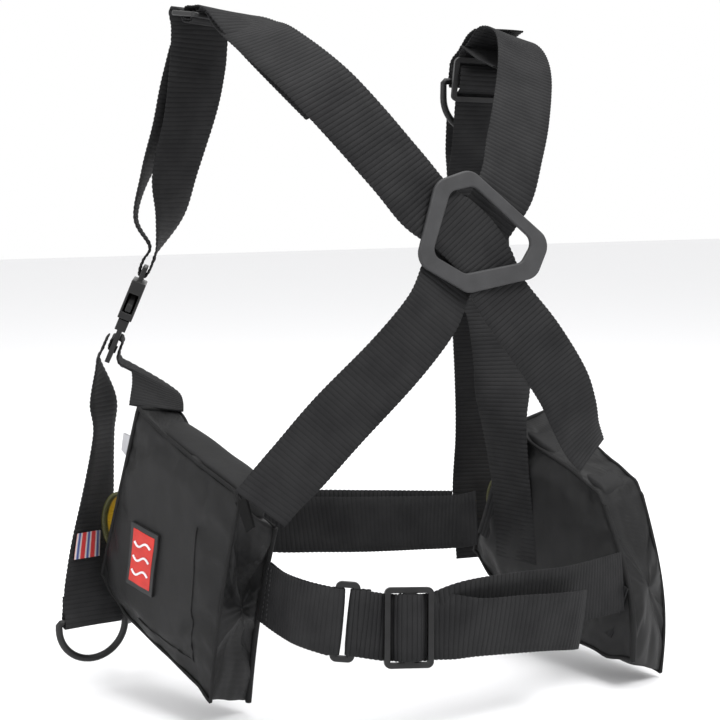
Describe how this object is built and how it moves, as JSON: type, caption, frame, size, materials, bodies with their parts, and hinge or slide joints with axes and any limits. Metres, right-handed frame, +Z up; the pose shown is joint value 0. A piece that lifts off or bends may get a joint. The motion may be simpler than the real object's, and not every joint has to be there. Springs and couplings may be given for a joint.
{
  "type": "diver's weight harness",
  "caption": "Webbing shoulder harness with a cross-back plate, a waist belt and side pouches that hold pull-out weights.",
  "frame": {"origin": "middle of the waist opening at the height of the belt", "axes": "+Z up, -Y to the wearer's front, +X to the wearer's left"},
  "size_m": [0.4713, 0.3078, 0.5544],
  "materials": {
    "webbing": "ribbed woven nylon, black",
    "pouch_fabric": "coated nylon cloth, black",
    "hardware_plastic": "moulded, satin black",
    "plate_plastic": "moulded, fine grained, dark grey",
    "bag_fabric": "coated nylon cloth",
    "weight_metal": "cast, dull grey",
    "grey_tab": "light grey cloth",
    "handle_yellow": "folded webbing, yellow edge",
    "patch_rubber": "moulded, red field in a dark frame",
    "label_fabric": "woven, printed stripes"
  },
  "bodies": {
    "harness": {"back_plate": "plate_plastic", "front_belt": "webbing", "front_belt_slide": "hardware_plastic", "front_belt_tail": "webbing", "left_body_panel": "pouch_fabric", "left_buckle_plug": "hardware_plastic", "left_buckle_socket": "hardware_plastic", "left_corner_tab": "pouch_fabric", "left_front_strap": "webbing", "left_patch": "patch_rubber", "left_pouch_flap": "pouch_fabric", "left_pouch_ring_tab": "webbing", "left_pouch_shell": "pouch_fabric", "left_pouch_strap": "webbing", "left_shoulder_slide": "hardware_plastic", "left_shoulder_strap": "webbing", "rear_belt_anchor": "webbing", "rear_belt_main": "webbing", "rear_belt_strap": "webbing", "right_body_panel": "pouch_fabric", "right_buckle_plug": "hardware_plastic", "right_buckle_socket": "hardware_plastic", "right_front_strap": "webbing", "right_patch": "patch_rubber", "right_pouch_belt": "webbing", "right_pouch_flap": "pouch_fabric", "right_pouch_shell": "pouch_fabric", "right_pouch_strap": "webbing", "right_shoulder_ring_tab": "webbing", "right_shoulder_slide": "hardware_plastic", "right_shoulder_strap": "webbing", "waist_loop": "hardware_plastic", "waist_slide": "hardware_plastic"},
    "left_weight": {"left_weight_bag": "bag_fabric", "left_weight_blocks": "weight_metal", "left_bag_tab": "grey_tab", "left_pull_handle": "handle_yellow"},
    "left_prong_front": {"left_buckle_prong_front": "hardware_plastic"},
    "left_prong_rear": {"left_buckle_prong_rear": "hardware_plastic"},
    "left_tail": {"left_pull_tail": "webbing", "tail_label": "label_fabric"},
    "right_weight": {"right_weight_bag": "bag_fabric", "right_weight_blocks": "weight_metal", "right_bag_tab": "grey_tab", "right_pull_handle": "handle_yellow"},
    "right_prong_front": {"right_buckle_prong_front": "hardware_plastic"},
    "right_prong_rear": {"right_buckle_prong_rear": "hardware_plastic"},
    "right_tail": {"right_pull_tail": "webbing"},
    "right_shoulder_ring": {"right_shoulder_ring": "hardware_plastic"},
    "left_tail_ring": {"left_tail_ring": "hardware_plastic"},
    "left_pouch_ring": {"left_pouch_ring": "hardware_plastic"}
  },
  "joints": [
    {"name": "left_weight_slide", "type": "slide", "parent": "harness", "child": "left_weight", "axis": [0.3017, -0.89, 0.342], "range_m": [0, 0.18], "deforming": ["left_pull_tail", "tail_label"]},
    {"name": "left_prong_front_flex", "type": "hinge", "parent": "harness", "child": "left_prong_front", "pos_m": [0.18173, -0.13948, 0.20176], "axis": [0.8562, -0.3403, 0.3887], "range_deg": [-6, 0], "stiffness_Nm_per_rad": 0.3},
    {"name": "left_prong_rear_flex", "type": "hinge", "parent": "harness", "child": "left_prong_rear", "pos_m": [0.19649, -0.10124, 0.20271], "axis": [0.8562, -0.3403, 0.3887], "range_deg": [0, 6], "stiffness_Nm_per_rad": 0.3},
    {"name": "left_tail_swing", "type": "hinge", "parent": "harness", "child": "left_tail", "pos_m": [0.20528, -0.12605, 0.18017], "axis": [0.3601, 0.9326, 0.0232], "range_deg": [-20, 0]},
    {"name": "right_weight_slide", "type": "slide", "parent": "harness", "child": "right_weight", "axis": [0.1785, -0.9226, 0.342], "range_m": [0, 0.18], "deforming": ["right_pull_tail"]},
    {"name": "right_prong_front_flex", "type": "hinge", "parent": "harness", "child": "right_prong_front", "pos_m": [-0.1519, -0.07177, 0.26392], "axis": [-0.3988, -0.917, -0.0024], "range_deg": [-6, 0], "stiffness_Nm_per_rad": 0.3},
    {"name": "right_prong_rear_flex", "type": "hinge", "parent": "harness", "child": "right_prong_rear", "pos_m": [-0.11434, -0.08811, 0.26209], "axis": [-0.3988, -0.917, -0.0024], "range_deg": [0, 6], "stiffness_Nm_per_rad": 0.3},
    {"name": "right_tail_swing", "type": "hinge", "parent": "harness", "child": "right_tail", "pos_m": [-0.13707, -0.086, 0.23601], "axis": [0.9162, -0.3983, -0.0446], "range_deg": [-20, 0]},
    {"name": "right_shoulder_ring_swing", "type": "hinge", "parent": "harness", "child": "right_shoulder_ring", "pos_m": [-0.12, -0.066, 0.404], "axis": [0.9798, -0.2, 0], "range_deg": [-25, 2]},
    {"name": "left_tail_ring_swing", "type": "hinge", "parent": "left_tail", "child": "left_tail_ring", "pos_m": [0.227, -0.107, -0.046], "axis": [0.9988, 0.0499, 0], "range_deg": [-40, 40]},
    {"name": "left_pouch_ring_swing", "type": "hinge", "parent": "harness", "child": "left_pouch_ring", "pos_m": [0.186, -0.131, -0.038], "axis": [0.5026, 0.8645, 0], "range_deg": [-30, 30]}
  ],
  "couplings": [
    {"joint": "left_prong_rear_flex", "follows": "left_prong_front_flex", "ratio": -1},
    {"joint": "right_prong_rear_flex", "follows": "right_prong_front_flex", "ratio": -1}
  ]
}
